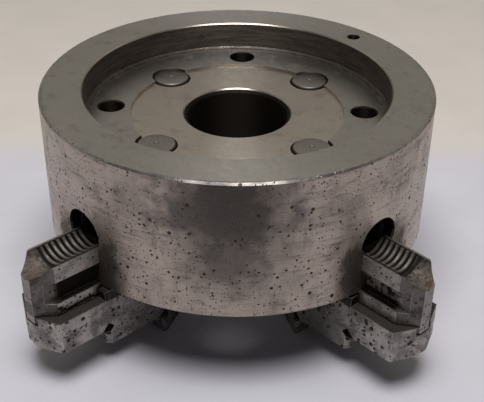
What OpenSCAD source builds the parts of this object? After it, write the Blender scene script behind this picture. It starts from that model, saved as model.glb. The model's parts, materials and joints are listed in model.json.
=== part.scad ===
// Four-jaw independent lathe chuck, lying face down on its jaws, mounting side up.
// Origin: on the chuck's axis, level with the lowest faces of the top jaws. +Z runs
// along the axis towards the mounting side. Jaw 1 lies on +X, jaw 2 on +Y, jaw 3 on -X
// and jaw 4 on -Y. Every jaw part is drawn lying along +X and then turned into place.

/* [Body] */
// Outside diameter of the body
body_d = 200; // [196:1:206]
// Thickness of the body from its front face to its back rim
body_t = 73; // [72:0.5:80]
// Diameter of the register recess in the back
register_d = 156.8; // [152:0.2:160]
// Depth of the register recess
register_depth = 15; // [12:0.5:16]
// Diameter of the sunk disc in the recess floor
disc_d = 110.6; // [104:0.2:116]
// Depth of the sunk disc below the recess floor
disc_sink = 1.6; // [1:0.1:2]
// Diameter of the centre bore
bore_d = 52.4; // [40:0.2:56]
// Chamfer around the back rim
rim_chamfer = 1; // [0.5:0.1:3]

/* [Mounting holes] */
// Diameter of the bolt circle
bolt_circle_d = 131; // [129:0.5:134]
// Diameter of the four mounting holes
mount_hole_d = 13; // [10:0.5:14]
// Diameter of the counterbores in the front face
mount_cbore_d = 20; // [18:0.5:22]
// Depth of the counterbores in the front face
mount_cbore_depth = 14; // [8:1:24]
// Diameter of the pin hole in the back rim
pin_hole_d = 6; // [4:0.5:8]
// Distance of the pin hole from the axis
pin_hole_at = 88; // [85:0.5:91]
// Depth of the pin hole
pin_hole_depth = 14; // [8:1:20]

/* [Jaw screws] */
// Height of the screw axes above the front face
screw_h = 26.5; // [26:0.1:27]
// Outside diameter of the thread
screw_d = 20.4; // [18:0.1:20.4]
// Diameter of the neck that the thrust block holds
neck_d = 12; // [10:0.5:13]
// Radius at which the thread starts near the bore
screw_in = 36; // [35:0.5:40]
// Radius at which the socketed end lies
screw_out = 95; // [85:0.5:97]
// Width of the square key socket
socket_w = 11; // [8:0.5:12]
// Depth of the square key socket
socket_depth = 14; // [8:1:20]
// Diameter of the screw holes in the body's side
screw_hole_d = 23.6; // [22.5:0.1:24]

/* [Thrust blocks] */
// Distance of the thrust blocks from the axis
block_at = 53.5; // [52:0.5:55]
// Diameter of the holes they are pressed into
block_hole_d = 21; // [20.5:0.5:22]
// Diameter of the visible head, which leaves a gap in its hole
block_head_d = 19.8; // [17:0.1:20]
// Thickness of the forked tongue that sits in the screw's neck
fork_t = 10; // [8:0.5:11]

/* [Master jaws] */
// Radius that the outer ends of jaws 1 and 3 reach at rest
jaws_x_out = 132; // [128:0.2:142]
// Radius that the outer ends of jaws 2 and 4 reach at rest
jaws_y_out = 134; // [128:0.2:142]
// Length of a master jaw
master_len = 80; // [74:1:86]
// Width over the ribs that slide in the body
rib_w = 21.6; // [20:0.2:21.6]
// Width between the grooves that the body's tongues fill
web_w = 14; // [13:0.2:15]
// Height of the groove's lower side above the body's front face
groove_low = 1.6; // [1:0.1:4]
// Height of the groove's upper side above the body's front face
groove_high = 13.8; // [13:0.1:15]
// Height of the top edges above the body's front face
master_top = 22.2; // [21.5:0.1:23]
// Distance that the seat stands out of the body's front face
seat_drop = 5.6; // [3:0.1:6]
// Diameter at the root of the half nut
half_nut_d = 21; // [21:0.1:21.2]

/* [Top jaws] */
// Width of a top jaw
top_w = 33; // [32:0.2:36]
// Distance of the lowest faces below the body's front face
jaw_drop = 45; // [42:0.5:50]
// Distance of the middle step below the body's front face
step_2_drop = 33; // [30:0.5:36]
// Distance of the outer step below the body's front face
step_1_drop = 23.5; // [22:0.5:25]
// Length of the outer step
step_1_len = 32.5; // [30:0.5:34]
// Length of the outer and middle steps together
step_2_len = 68; // [64:0.5:70]
// Length of the whole top jaw
top_len = 92; // [88:0.5:94]

/* [Jaw bolts] */
// Thread diameter of the socket-head cap screws
bolt_d = 10; // [8:0.5:10]
// Diameter of their heads
bolt_head_d = 16; // [13:0.5:16]
// Height of their heads
bolt_head_h = 10; // [8:0.5:10]
// Distance of the outer bolt from the jaw's outer end
bolt_1_in = 20; // [18:0.5:21]
// Distance of the inner bolt from the jaw's outer end
bolt_2_in = 52; // [46:0.5:56]

/* [Hidden] */
$fn = 96;

// Small working values
eps = 1;              // how far a cutter runs past the face that it cuts
slide_gap = 0.3;      // clearance between the sliding faces of the jaws and the body
fit_gap = 0.04;       // radial clearance of a close fit
neck_gap = 0.2;       // end play of a screw's neck on its thrust block
face_gap = 0.4;       // clearance between the top jaws' shoulders and the front face

// Heights above the resting plane
front_z = jaw_drop;
back_z = front_z + body_t;
floor_z = back_z - register_depth;
disc_z = floor_z - disc_sink;
screw_z = front_z + screw_h;
seat_z = front_z - seat_drop;

// Body
body_r = body_d / 2;
register_r = register_d / 2;
bore_r = bore_d / 2;
front_chamfer = 1;
bore_chamfer = 2;
register_chamfer = 0.6;
ledge_w = 1.6;        // narrow ledge left at the foot of the register wall
ledge_h = 0.8;
relief_w = 0.7;       // thin groove that parts the ledge from the floor
relief_depth = 0.5;
hole_chamfer = 0.6;

// Screws and thrust blocks
screw_hole_end = screw_in - 4;
slot_start = bore_r * 0.75;
screw_chamfer = 1.2;
socket_mouth = 1;
block_head_h = 2.4;
block_bevel = 0.9;
block_dome = 0.35;
block_top_z = floor_z - 0.5;
block_shoulder_z = screw_z + screw_hole_d / 2 + 0.2;
fork_end_z = screw_z - 2;
pip_d = 3;

// Jaws
tongue_w = 9.8;       // lengthwise tongue under a master jaw
tongue_h = 4;
tongue_gap = 0.1;     // beside the tongue
tongue_clear = 0.8;   // under the tongue
joint_chamfer = 0.8;
facet_1_len = 9.6;    // master jaw: how far back its end facets start
facet_1_w = 6.4;      // master jaw: width left at the end
facet_2_len = 6;      // top jaw: the same pair of sizes
facet_2_w = 7.8;
nose_w = 9;
shoulder_gap = 0.6;
relieved_len = 32.5;  // the outer stretch of a top jaw that has no shoulders
corner_chamfer = 2.4;
relief_slot = 4.6;    // square slot milled at 45 degrees into each step's inner corner
grip_groove_w = 0.9;
grip_groove_depth = 0.7;
grip_grooves = [1.2, 3.2];
bolt_seat_drop = 13.2;
bolt_grip = 25;
bolt_hole_d = 11;
bolt_cbore_d = 17.5;
hex_af = 8;
hex_depth = 5;
bolt_chamfer = 0.8;

STEEL = [0.52, 0.50, 0.48];
WORN_STEEL = [0.60, 0.57, 0.53];
DARK_STEEL = [0.34, 0.32, 0.31];
BOLT_BLACK = [0.20, 0.20, 0.21];

function jaw_out(n) = n % 2 == 1 ? jaws_x_out : jaws_y_out;

// Turns a part drawn along +X to jaw n's place
module at_jaw(n) {
    rotate([0, 0, 90 * (n - 1)]) children();
}

// Extrudes a cross-section, drawn as (sideways, height), along +X from a to b
module along_x(a, b) {
    translate([a, 0, 0]) rotate([90, 0, 90]) linear_extrude(b - a) children();
}

// A straight round cutter along +X at the height of the screw
module screw_axis_rod(r, a, b) {
    translate([a, 0, screw_z]) rotate([0, 90, 0]) cylinder(r = r, h = b - a);
}

// ---- Body ----

module body_profile() {
    polygon([
        [bore_r, front_z + bore_chamfer], [bore_r + bore_chamfer, front_z],
        [body_r - front_chamfer, front_z], [body_r, front_z + front_chamfer],
        [body_r, back_z - rim_chamfer], [body_r - rim_chamfer, back_z],
        [register_r + register_chamfer, back_z], [register_r, back_z - register_chamfer],
        [register_r, floor_z + ledge_h], [register_r - ledge_w, floor_z + ledge_h],
        [register_r - ledge_w, floor_z - relief_depth],
        [register_r - ledge_w - relief_w, floor_z - relief_depth],
        [register_r - ledge_w - relief_w, floor_z],
        [disc_d / 2, floor_z], [disc_d / 2, disc_z],
        [bore_r + bore_chamfer, disc_z], [bore_r, disc_z - bore_chamfer]
    ]);
}

// Cross-section of the slot that a master jaw slides in
module slot_section() {
    wide = rib_w + 2 * slide_gap;
    narrow = web_w + 2 * slide_gap;
    low = groove_low + slide_gap;
    high = groove_high - slide_gap;
    top = master_top + 3 * slide_gap;
    translate([-wide / 2, front_z - eps]) square([wide, low + eps]);
    translate([-narrow / 2, front_z]) square([narrow, high + eps]);
    translate([-wide / 2, front_z + high]) square([wide, top - high]);
}

// A hole down through the face at z, with its edge broken
module chamfered_hole(r, z, depth) {
    translate([0, 0, z - depth]) cylinder(r = r, h = depth + eps);
    translate([0, 0, z - hole_chamfer])
        cylinder(r1 = r, r2 = r + hole_chamfer + eps, h = hole_chamfer + eps);
}

module mounting_hole() {
    translate([bolt_circle_d / 2, 0, 0]) {
        chamfered_hole(mount_hole_d / 2, floor_z, floor_z - front_z + eps);
        translate([0, 0, front_z - eps])
            cylinder(d = mount_cbore_d, h = mount_cbore_depth + eps);
    }
}

module chuck_body() {
    color(STEEL) difference() {
        rotate_extrude($fn = 256) body_profile();
        for (n = [1:4]) at_jaw(n) {
            along_x(slot_start, body_r + eps) slot_section();
            screw_axis_rod(screw_hole_d / 2, screw_hole_end, body_r + eps);
            translate([block_at, 0, screw_z])
                cylinder(d = block_hole_d, h = back_z - screw_z);
            rotate([0, 0, 45]) mounting_hole();
        }
        translate([0, pin_hole_at, 0])
            chamfered_hole(pin_hole_d / 2, back_z, pin_hole_depth);
    }
}

// ---- Thrust blocks ----

module block_profile() {
    seat_r = block_hole_d / 2 - fit_gap;
    head_r = block_head_d / 2;
    head_z = block_top_z - block_head_h;
    polygon([
        [0, fork_end_z], [seat_r, fork_end_z], [seat_r, head_z], [head_r, head_z],
        [head_r, block_top_z - block_bevel], [head_r - block_bevel, block_top_z],
        [head_r / 2, block_top_z + block_dome], [pip_d / 2, block_top_z + block_dome],
        [0, block_top_z + block_dome - pip_d / 4]
    ]);
}

// A round plug whose lower end is milled to a forked tongue astride the screw's neck
module thrust_block(n) {
    color(DARK_STEEL) at_jaw(n) difference() {
        translate([block_at, 0, 0]) rotate_extrude() block_profile();
        for (side = [-1, 1])
            translate([block_at + side * (fork_t / 2 + screw_d / 2), 0, fork_end_z - eps])
                translate([-screw_d / 2, -screw_d, 0])
                    cube([screw_d, 2 * screw_d, block_shoulder_z - fork_end_z + eps]);
        screw_axis_rod(neck_d / 2 + fit_gap, block_at - fork_t, block_at + fork_t);
        translate([block_at - fork_t, -neck_d / 2 - fit_gap, fork_end_z - eps])
            cube([2 * fork_t, neck_d + 2 * fit_gap, screw_z - fork_end_z + eps]);
    }
}

// ---- Jaw screws ----

module screw_profile() {
    r = screw_d / 2;
    neck_a = block_at - fork_t / 2 - neck_gap;
    neck_b = block_at + fork_t / 2 + neck_gap;
    polygon([
        [0, screw_in], [r - screw_chamfer, screw_in], [r, screw_in + screw_chamfer],
        [r, neck_a], [neck_d / 2, neck_a], [neck_d / 2, neck_b], [r, neck_b],
        [r, screw_out - screw_chamfer], [r - screw_chamfer, screw_out], [0, screw_out]
    ]);
}

module jaw_screw(n) {
    color(DARK_STEEL) at_jaw(n) translate([0, 0, screw_z]) difference() {
        rotate([0, 90, 0]) rotate_extrude() screw_profile();
        translate([screw_out - socket_depth, -socket_w / 2, -socket_w / 2])
            cube([socket_depth + eps, socket_w, socket_w]);
        translate([screw_out - socket_mouth, 0, 0]) rotate([0, 90, 0])
            cylinder(d1 = socket_w, d2 = socket_w + 4 * socket_mouth, h = 2 * socket_mouth);
    }
}

// ---- Master jaws ----

module master_section() {
    rib = rib_w / 2;
    polygon([for (side = [1, -1], p = side > 0
        ? [[tongue_w / 2, -seat_drop - tongue_h], [tongue_w / 2, -seat_drop],
           [rib - joint_chamfer, -seat_drop], [rib, joint_chamfer - seat_drop],
           [rib, groove_low], [web_w / 2, groove_low], [web_w / 2, groove_high],
           [rib, groove_high], [rib, master_top]]
        : [[rib, master_top], [rib, groove_high], [web_w / 2, groove_high],
           [web_w / 2, groove_low], [rib, groove_low], [rib, joint_chamfer - seat_drop],
           [rib - joint_chamfer, -seat_drop], [tongue_w / 2, -seat_drop],
           [tongue_w / 2, -seat_drop - tongue_h]]
        ) [side * p[0], front_z + p[1]]]);
}

// Plan of a bar from radius a to b with width w, its outer end cut back by two facets
module faceted_plan(a, b, w, facet_len, end_w) {
    polygon([
        [a, -w / 2], [b - facet_len, -w / 2], [b, -end_w / 2],
        [b, end_w / 2], [b - facet_len, w / 2], [a, w / 2]
    ]);
}

module master_jaw(n) {
    out = jaw_out(n);
    color(WORN_STEEL) at_jaw(n) difference() {
        intersection() {
            along_x(out - master_len, out) master_section();
            translate([0, 0, seat_z - tongue_h - eps]) linear_extrude(2 * screw_h)
                faceted_plan(out - master_len, out, rib_w, facet_1_len, facet_1_w);
        }
        screw_axis_rod(half_nut_d / 2, out - master_len - eps, out + eps);
        for (back = [bolt_1_in, bolt_2_in])
            translate([out - back, 0, seat_z - tongue_h - eps])
                cylinder(d = bolt_d + 2 * fit_gap, h = bolt_grip - bolt_seat_drop
                    + seat_drop + tongue_h + 2 * eps);
    }
}

// ---- Top jaws ----

// Plan of the whole top jaw, from its narrow nose to its faceted outer end
module top_plan(out) {
    a = out - top_len;
    b = out - step_2_len;
    polygon([
        [a, -nose_w / 2], [b, -top_w / 2], [out - facet_2_len, -top_w / 2],
        [out, -facet_2_w / 2], [out, facet_2_w / 2], [out - facet_2_len, top_w / 2],
        [b, top_w / 2], [a, nose_w / 2]
    ]);
}

// The plan as far out as a riser, whose two corners are chamfered
module step_plan(out, riser) {
    intersection() {
        top_plan(out);
        faceted_plan(out - top_len - eps, riser, top_w + eps, corner_chamfer,
            top_w - 2 * corner_chamfer);
    }
}

// Grooves along one riser: a square slot at 45 degrees in its upper corner and the
// grip grooves near its lower edge
module riser_cuts(riser, upper_z, lower_z) {
    translate([riser, 0, upper_z]) rotate([0, 45, 0])
        cube([relief_slot * 1.6, top_w + 2 * eps, relief_slot], center = true);
    for (up = grip_grooves)
        translate([riser - grip_groove_depth, -top_w, lower_z + up])
            cube([grip_groove_depth + eps, 2 * top_w, grip_groove_w]);
}

module top_jaw(n) {
    out = jaw_out(n);
    riser_1 = out - step_1_len;
    riser_2 = out - step_2_len;
    z1 = front_z - step_1_drop;
    z2 = front_z - step_2_drop;
    shoulder_z = front_z - face_gap;
    wide = rib_w / 2 + shoulder_gap;
    color(WORN_STEEL) at_jaw(n) difference() {
        union() {
            translate([0, 0, z1]) linear_extrude(shoulder_z - z1) top_plan(out);
            translate([0, 0, z2]) linear_extrude(z1 - z2 + eps) step_plan(out, riser_1);
            linear_extrude(z2 + eps) step_plan(out, riser_2);
        }
        // Seat for the master jaw, open at its outer end
        translate([out - master_len - slide_gap, -wide, seat_z])
            cube([master_len + eps, 2 * wide, seat_drop]);
        translate([out - relieved_len, -top_w, seat_z]) cube([top_len, 2 * top_w, seat_drop]);
        translate([out - master_len - slide_gap, -tongue_w / 2 - tongue_gap,
            seat_z - tongue_h - tongue_clear])
            cube([master_len + eps, tongue_w + 2 * tongue_gap, tongue_h + 2 * tongue_clear]);
        riser_cuts(riser_1, z1, z2);
        riser_cuts(riser_2, z2, 0);
        for (back = [bolt_1_in, bolt_2_in]) translate([out - back, 0, 0]) {
            cylinder(d = bolt_hole_d, h = front_z);
            translate([0, 0, -eps])
                cylinder(d = bolt_cbore_d, h = front_z - bolt_seat_drop + eps);
        }
    }
}

// ---- Jaw bolts ----

module cap_screw() {
    seat = front_z - bolt_seat_drop;
    difference() {
        translate([0, 0, seat]) rotate_extrude() polygon([
            [0, -bolt_head_h], [bolt_head_d / 2 - bolt_chamfer, -bolt_head_h],
            [bolt_head_d / 2, bolt_chamfer - bolt_head_h], [bolt_head_d / 2, 0],
            [bolt_d / 2, 0], [bolt_d / 2, bolt_grip - bolt_chamfer],
            [bolt_d / 2 - bolt_chamfer, bolt_grip], [0, bolt_grip]
        ]);
        translate([0, 0, seat - bolt_head_h - eps])
            cylinder(d = hex_af / cos(30), h = hex_depth + eps, $fn = 6);
    }
}

module jaw_bolts(n) {
    color(BOLT_BLACK) at_jaw(n) for (back = [bolt_1_in, bolt_2_in])
        translate([jaw_out(n) - back, 0, 0]) cap_screw();
}

chuck_body();
thrust_block(1);  // thrust_block_1
thrust_block(2);  // thrust_block_2
thrust_block(3);  // thrust_block_3
thrust_block(4);  // thrust_block_4
jaw_screw(1);  // jaw_screw_1
jaw_screw(2);  // jaw_screw_2
jaw_screw(3);  // jaw_screw_3
jaw_screw(4);  // jaw_screw_4
master_jaw(1);  // master_jaw_1
master_jaw(2);  // master_jaw_2
master_jaw(3);  // master_jaw_3
master_jaw(4);  // master_jaw_4
top_jaw(1);  // top_jaw_1
top_jaw(2);  // top_jaw_2
top_jaw(3);  // top_jaw_3
top_jaw(4);  // top_jaw_4
jaw_bolts(1);  // jaw_bolts_1
jaw_bolts(2);  // jaw_bolts_2
jaw_bolts(3);  // jaw_bolts_3
jaw_bolts(4);  // jaw_bolts_4
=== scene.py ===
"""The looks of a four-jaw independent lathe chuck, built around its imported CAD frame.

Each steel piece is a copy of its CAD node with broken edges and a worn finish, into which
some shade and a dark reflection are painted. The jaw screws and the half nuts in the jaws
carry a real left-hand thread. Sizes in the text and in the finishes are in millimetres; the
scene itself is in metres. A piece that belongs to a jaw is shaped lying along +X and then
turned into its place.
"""

import json
import math
import random

import bmesh
import bpy
from mathutils import Matrix, Vector, noise


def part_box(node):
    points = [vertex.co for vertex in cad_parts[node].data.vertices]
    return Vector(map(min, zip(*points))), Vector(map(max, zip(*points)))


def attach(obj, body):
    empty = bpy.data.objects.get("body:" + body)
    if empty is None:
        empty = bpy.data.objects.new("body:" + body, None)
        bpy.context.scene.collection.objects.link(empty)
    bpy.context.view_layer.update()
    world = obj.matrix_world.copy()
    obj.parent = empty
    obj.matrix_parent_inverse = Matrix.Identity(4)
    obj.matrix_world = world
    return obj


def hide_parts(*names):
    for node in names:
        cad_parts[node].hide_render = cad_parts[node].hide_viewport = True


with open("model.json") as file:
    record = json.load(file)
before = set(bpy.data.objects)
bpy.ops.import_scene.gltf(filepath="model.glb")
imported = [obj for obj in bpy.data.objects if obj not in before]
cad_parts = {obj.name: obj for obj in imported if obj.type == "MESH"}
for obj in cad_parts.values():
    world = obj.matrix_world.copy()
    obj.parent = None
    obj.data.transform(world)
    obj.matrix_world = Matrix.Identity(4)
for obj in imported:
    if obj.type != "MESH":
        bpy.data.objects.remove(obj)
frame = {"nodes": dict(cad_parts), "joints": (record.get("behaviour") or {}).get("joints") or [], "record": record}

bl_info = {
    "name": "Four-Jaw Lathe Chuck",
    "version": (1, 0, 0),
    "blender": (4, 5, 0),
    "location": "3D View > Sidebar > Chuck",
    "description": "Builds the worn steel pieces of a four-jaw independent lathe chuck",
    "category": "Object",
}

MM = 0.001
JAWS = (1, 2, 3, 4)
# The jaw whose lower rib is chipped, and the one whose groove has the least grime and painted shade
CHIPPED_JAW, LEAST_DARKENED_GROOVE_JAW = 4, 1

# ---- Sizes that the frame gives, in millimetres ----


def box_mm(node):
    """The lowest and highest corner of a CAD node, in millimetres."""
    low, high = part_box(node)
    return low / MM, high / MM


def mount(name):
    """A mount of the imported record: its place and its sizes."""
    return next(m for m in frame["record"]["mounts"] if m["name"] == name)


BODY_LOW, BODY_HIGH = box_mm("chuck_body")
BODY_RADIUS = BODY_HIGH.x
FRONT_Z, BACK_Z = BODY_LOW.z, BODY_HIGH.z
FLOOR_Z = mount("recess_floor")["pos_m"][2] / MM
REGISTER_R = mount("register")["dims"]["r_mm"]
BORE_R = mount("spindle_bore")["dims"]["r_mm"]
BOLT_CIRCLE_R = mount("mounting_bolts")["dims"]["pcd_mm"] / 2
BOLT_HOLE_R = mount("mounting_bolts")["dims"]["hole_r_mm"]
PIN_HOLE_R = mount("rim_pin_hole")["dims"]["r_mm"]
PIN_AT = mount("rim_pin_hole")["pos_m"][1] / MM

SCREW_LOW, SCREW_HIGH = box_mm("jaw_screw_1")
SCREW_R = SCREW_HIGH.y
SCREW_Z = (SCREW_LOW.z + SCREW_HIGH.z) / 2
SCREW_IN, SCREW_OUT = SCREW_LOW.x, SCREW_HIGH.x
BLOCK_LOW, BLOCK_HIGH = box_mm("thrust_block_1")
BLOCK_AT = (BLOCK_LOW.x + BLOCK_HIGH.x) / 2
MASTER_LOW, MASTER_HIGH = box_mm("master_jaw_1")
MASTER_LEN = MASTER_HIGH.x - MASTER_LOW.x
LIP_Z = MASTER_HIGH.z
RIB_HALF = MASTER_HIGH.y
TOP_HALF = box_mm("top_jaw_1")[1].y
PITCH = math.tau / frame["record"]["behaviour"]["couplings"][0]["ratio"] / MM


def jaw_out(number):
    """How far out a jaw reaches at rest."""
    slide = next(j for j in frame["joints"] if j["name"] == f"jaw_{number}_slide")
    axis = Vector(slide["axis"])
    low, high = box_mm(f"master_jaw_{number}")
    return max(axis.dot(low), axis.dot(high))


# ---- Sizes of features inside a CAD node, in millimetres ----

# The sunk disc in the floor of the recess
DISC_R = 55.3
# Room around the turning pip in a thrust block's head, where edges stay sharp
PIP_ROOM = 3
# The tongue under a master jaw, and the seat around it
TONGUE_H = 4.0
SEAT_Z = MASTER_LOW.z + TONGUE_H
# The groove along a master jaw's side, and the facets at its outer end
GROOVE_LOW_Z, GROOVE_HIGH_Z = FRONT_Z + 1.6, FRONT_Z + 13.8
FACET_LEN = 9.6
# The two risers of a top jaw: how far back, and how far below the front face
STEPS = ((32.5, 23.5), (68.0, 33.0))
SHOULDER_BACK = STEPS[0][0]
# The relief slots at the foot of each riser, and the channel for the tongue
RELIEF_R = 4.0
CHANNEL_HALF = 5.4
# The neck of a screw, where its thrust block holds it, and the ends of its thread
NECK_R, NECK_HALF = 6.0, 5.2
SCREW_CHAMFER = 1.2
# The square key socket: half width, depth and chamfered mouth
SOCKET_HALF, SOCKET_DEEP, SOCKET_MOUTH = 5.5, 14.0, 1.0
# The chips in a lower rib: length of their row, and heights above the seat
CHIPPED_RUN = 25
CHIP_RISE, CHIP_END_RISE = 1.6, 2.6
# How far a half nut's thread takes to fade out before its plain bowl
NUT_RUN_OUT = 2.2
# Vertices closer together than this, in metres, are one
SAME_POINT = 1e-6

# ---- What a user may change ----


def paint(name, description, default):
    """A colour."""
    return bpy.props.FloatVectorProperty(
        name=name,
        description=description,
        subtype="COLOR",
        size=3,
        min=0,
        max=1,
        default=default,
    )


def amount(name, description, default):
    """A share, from none to all."""
    return bpy.props.FloatProperty(
        name=name, description=description, subtype="FACTOR", min=0, max=1, default=default
    )


def length(name, description, low, high, default):
    """A length, in metres."""
    return bpy.props.FloatProperty(
        name=name,
        description=description,
        subtype="DISTANCE",
        min=low,
        max=high,
        default=default,
    )


class ChuckBodySettings(bpy.types.PropertyGroup):
    """The body, its screw plugs and their finish."""

    color: paint(
        "Steel", "Colour of the turned faces", (0.37, 0.355, 0.335)
    )
    side_color: paint(
        "Outside", "Colour of the browned outside", (0.49, 0.415, 0.35)
    )
    plug_color: paint(
        "Plugs", "Colour of the thrust blocks' heads", (0.25, 0.235, 0.22)
    )
    edge_break: length(
        "Edge break", "How far the sharp edges are rounded", 0.0001, 0.001, 0.00035
    )
    pitting: amount("Pitting", "How much of the outside is pitted", 0.8)
    turning: amount("Turning marks", "Depth of the marks that the lathe tool left", 0.5)


class ChuckJawSettings(bpy.types.PropertyGroup):
    """The master jaws, the top jaws, the half nuts and their bolts."""

    master_color: paint(
        "Master jaws", "Colour of the master jaws", (0.40, 0.365, 0.335)
    )
    top_color: paint(
        "Top jaws", "Colour of the stepped top jaws", (0.42, 0.385, 0.355)
    )
    bolt_color: paint(
        "Bolts", "Colour of the black cap screws", (0.05, 0.05, 0.053)
    )
    rust_color: paint(
        "Rust", "Colour of the rust in the half nuts", (0.15, 0.08, 0.038)
    )
    pitting: amount("Pitting", "How much of the jaws is pitted", 0.9)
    edge_break: length(
        "Edge break", "How far the sharp edges are rounded", 0.0001, 0.001, 0.0003
    )
    chips: bpy.props.IntProperty(
        name="Chips",
        description="Number of bites knocked out of the lower rib of the fourth jaw",
        min=0,
        max=12,
        default=9,
    )


class ChuckThreadSettings(bpy.types.PropertyGroup):
    """The left-hand thread of the screws and the half nuts."""

    color: paint(
        "Screws", "Colour of the oily jaw screws", (0.20, 0.185, 0.17)
    )
    depth: length(
        "Thread depth", "Height of the thread on the screws", 0.0008, 0.002, 0.0016
    )
    columns: bpy.props.IntProperty(
        name="Columns",
        description="Divisions around a screw",
        min=24,
        max=96,
        default=48,
    )
    nut_plain: length(
        "Plain bowl", "Length of the half nut's outer end that has no thread", 0.0, 0.03, 0.0135
    )


class ChuckStageSettings(bpy.types.PropertyGroup):
    """The floor, the lights and the camera."""

    floor_color: paint(
        "Floor", "Colour of the pale floor near the chuck", (0.66, 0.655, 0.72)
    )
    far_color: paint(
        "Far floor", "Colour of the pale floor far behind the chuck", (0.72, 0.675, 0.62)
    )
    key_power: bpy.props.FloatProperty(
        name="Overhead light",
        description="Power of the softbox above the chuck",
        subtype="POWER",
        min=0,
        default=14.5,
    )
    world_strength: bpy.props.FloatProperty(
        name="Room light",
        description="Strength of the light that comes from all around",
        min=0,
        default=0.4,
    )
    lens: bpy.props.FloatProperty(
        name="Focal length",
        description="Focal length of the camera, in millimetres",
        subtype="DISTANCE_CAMERA",
        min=20,
        default=72.66,
    )


# ---- Making meshes ----


def at_jaw(number):
    """Turns a piece that lies along +X into the place of one jaw."""
    return Matrix.Rotation(math.radians(90 * (number - 1)), 4, "Z")


def new_object(name, mesh, number=1):
    obj = bpy.data.objects.new(name, mesh)
    bpy.context.scene.collection.objects.link(obj)
    obj.matrix_world = at_jaw(number)
    return obj


def cad_bmesh(node, number=1):
    """A CAD node's mesh with its flat faces made whole, turned back to lie along +X."""
    source = frame["nodes"][node].data
    mesh = bpy.data.meshes.new(node + "_source")
    mesh.from_pydata(
        [v.co for v in source.vertices], [], [list(p.vertices) for p in source.polygons]
    )
    bm = bmesh.new()
    bm.from_mesh(mesh)
    bpy.data.meshes.remove(mesh)
    bmesh.ops.remove_doubles(bm, verts=bm.verts, dist=SAME_POINT)
    bmesh.ops.dissolve_limit(
        bm, angle_limit=math.radians(0.5), verts=bm.verts, edges=bm.edges
    )
    bmesh.ops.transform(bm, matrix=at_jaw(number).inverted(), verts=bm.verts)
    bmesh.ops.recalc_face_normals(bm, faces=bm.faces)
    return bm


def skin(rings):
    """A closed mesh through rings of points, in millimetres, with flat ends."""
    bm = bmesh.new()
    rows = [[bm.verts.new(Vector(point) * MM) for point in ring] for ring in rings]
    columns = len(rows[0])
    for near, far in zip(rows, rows[1:]):
        for here in range(columns):
            there = (here + 1) % columns
            bm.faces.new((near[here], near[there], far[there], far[here]))
    bm.faces.new(list(reversed(rows[0])))
    bm.faces.new(rows[-1])
    return bm


def clean_up(bm):
    """Joins the points that meet, and turns every face outwards."""
    bmesh.ops.remove_doubles(bm, verts=bm.verts, dist=SAME_POINT)
    bmesh.ops.dissolve_degenerate(bm, dist=SAME_POINT, edges=bm.edges)
    bmesh.ops.recalc_face_normals(bm, faces=bm.faces)


def sharp_edges(bm, wanted=None, degrees=28):
    """The edges where two faces meet at an angle, apart from the tiny ones."""
    found = []
    for e in bm.edges:
        if len(e.link_faces) != 2 or e.calc_face_angle(0) < math.radians(degrees):
            continue
        middle = (e.verts[0].co + e.verts[1].co) / 2 / MM
        if wanted is None or wanted(middle):
            found.append(e)
    return found


def break_edges(bm, edges, width, segments=2):
    """Rounds edges. The new faces take the second material, which is brighter."""
    if edges:
        bmesh.ops.bevel(
            bm,
            geom=edges,
            offset=width,
            offset_type="OFFSET",
            segments=segments,
            profile=0.5,
            affect="EDGES",
            clamp_overlap=True,
            material=1,
        )


def smooth_mesh(bm, name, materials, degrees):
    """Turns a bmesh into a mesh, shaded smooth between its sharp edges."""
    mesh = bpy.data.meshes.new(name)
    bm.to_mesh(mesh)
    bm.free()
    for material in materials:
        mesh.materials.append(material)
    mesh.polygons.foreach_set("use_smooth", [True] * len(mesh.polygons))
    mesh.set_sharp_from_angle(angle=math.radians(degrees))
    return mesh


def even_object(name, mesh, number):
    """A piece's object, whose broad faces set the shading of its edges."""
    obj = new_object(name, mesh, number)
    obj.modifiers.new("Even shading", "WEIGHTED_NORMAL").keep_sharp = True
    return obj


def finish_mesh(bm, name, materials, number=1, degrees=38):
    """Ends a piece's mesh and makes its object."""
    bmesh.ops.dissolve_degenerate(bm, dist=2 * SAME_POINT, edges=bm.edges)
    return even_object(name, smooth_mesh(bm, name, materials, degrees), number)


def stands_for(obj, node, body):
    """Rides a piece on its body in the place of its CAD node, which it hides."""
    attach(obj, body)
    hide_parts(node)


def cut(bm, cutter):
    """Takes a closed cutter out of a closed mesh."""
    tools = []
    for part in (bm, cutter):
        mesh = bpy.data.meshes.new("cut")
        part.to_mesh(mesh)
        part.free()
        tools.append(new_object("cut", mesh))
    work, knife = tools
    boolean = work.modifiers.new("Cut", "BOOLEAN")
    boolean.operation = "DIFFERENCE"
    boolean.solver = "EXACT"
    boolean.use_self = True
    boolean.object = knife
    bpy.context.view_layer.update()
    result = bpy.data.meshes.new_from_object(
        work.evaluated_get(bpy.context.evaluated_depsgraph_get())
    )
    made = bmesh.new()
    made.from_mesh(result)
    bpy.data.meshes.remove(result)
    for tool in tools:
        mesh = tool.data
        bpy.data.objects.remove(tool)
        bpy.data.meshes.remove(mesh)
    return made


# ---- Making finishes ----


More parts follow.
